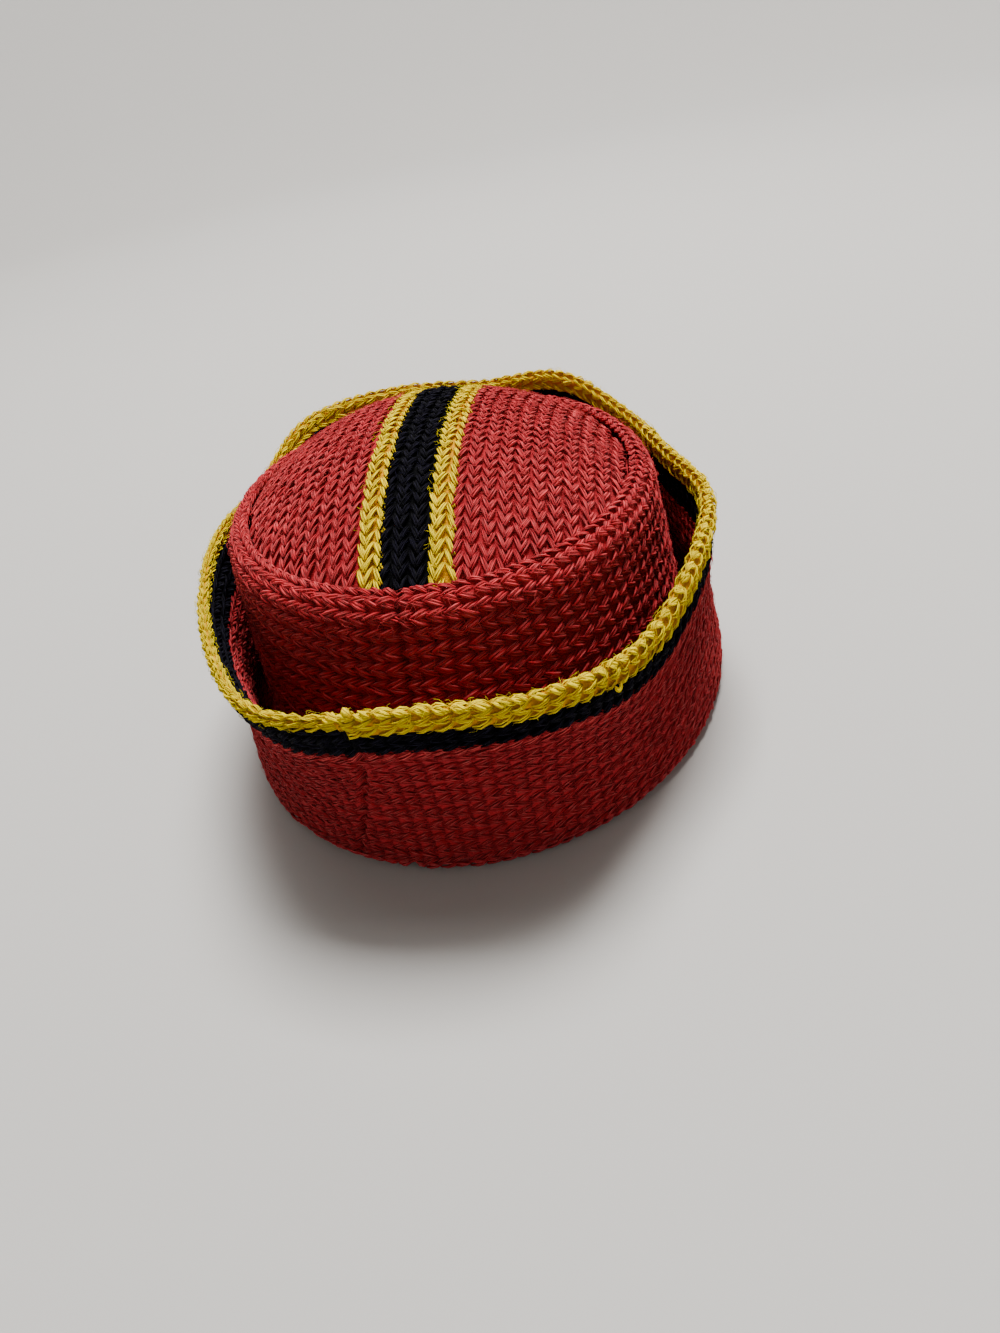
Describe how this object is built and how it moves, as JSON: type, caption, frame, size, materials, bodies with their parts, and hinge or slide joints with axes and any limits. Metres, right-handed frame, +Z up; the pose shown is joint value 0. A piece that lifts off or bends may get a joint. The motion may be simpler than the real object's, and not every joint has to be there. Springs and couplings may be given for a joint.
{
  "type": "knitted wool hat with a brim turned up all round",
  "caption": "Soft knitted wool hat with a low domed top, front-to-back stripes, a raised ridge around the top and a wide brim turned up all round, open below for the head.",
  "frame": {"origin": "the floor under the middle of the hat's box, at the height of the lowest fold", "axes": "+Z up, -Y towards the front of the hat, +X towards the wearer's left"},
  "size_m": [0.194, 0.2494, 0.1127],
  "materials": {
    "red_wool": "matte knitted wool with fuzzy fibres",
    "navy_wool": "matte knitted wool with fuzzy fibres",
    "yellow_wool": "matte knitted wool with fuzzy fibres"
  },
  "bodies": {
    "root": {"top_panel_left": "red_wool", "top_stripe_yellow_left": "yellow_wool", "top_stripe_navy": "navy_wool", "top_stripe_yellow_right": "yellow_wool", "top_panel_right": "red_wool", "shoulder_ridge": "red_wool", "side_band": "red_wool", "lower_fold": "red_wool", "turned_brim": "red_wool", "brim_navy_stripe": "navy_wool", "brim_yellow_edge": "yellow_wool"}
  },
  "joints": []
}
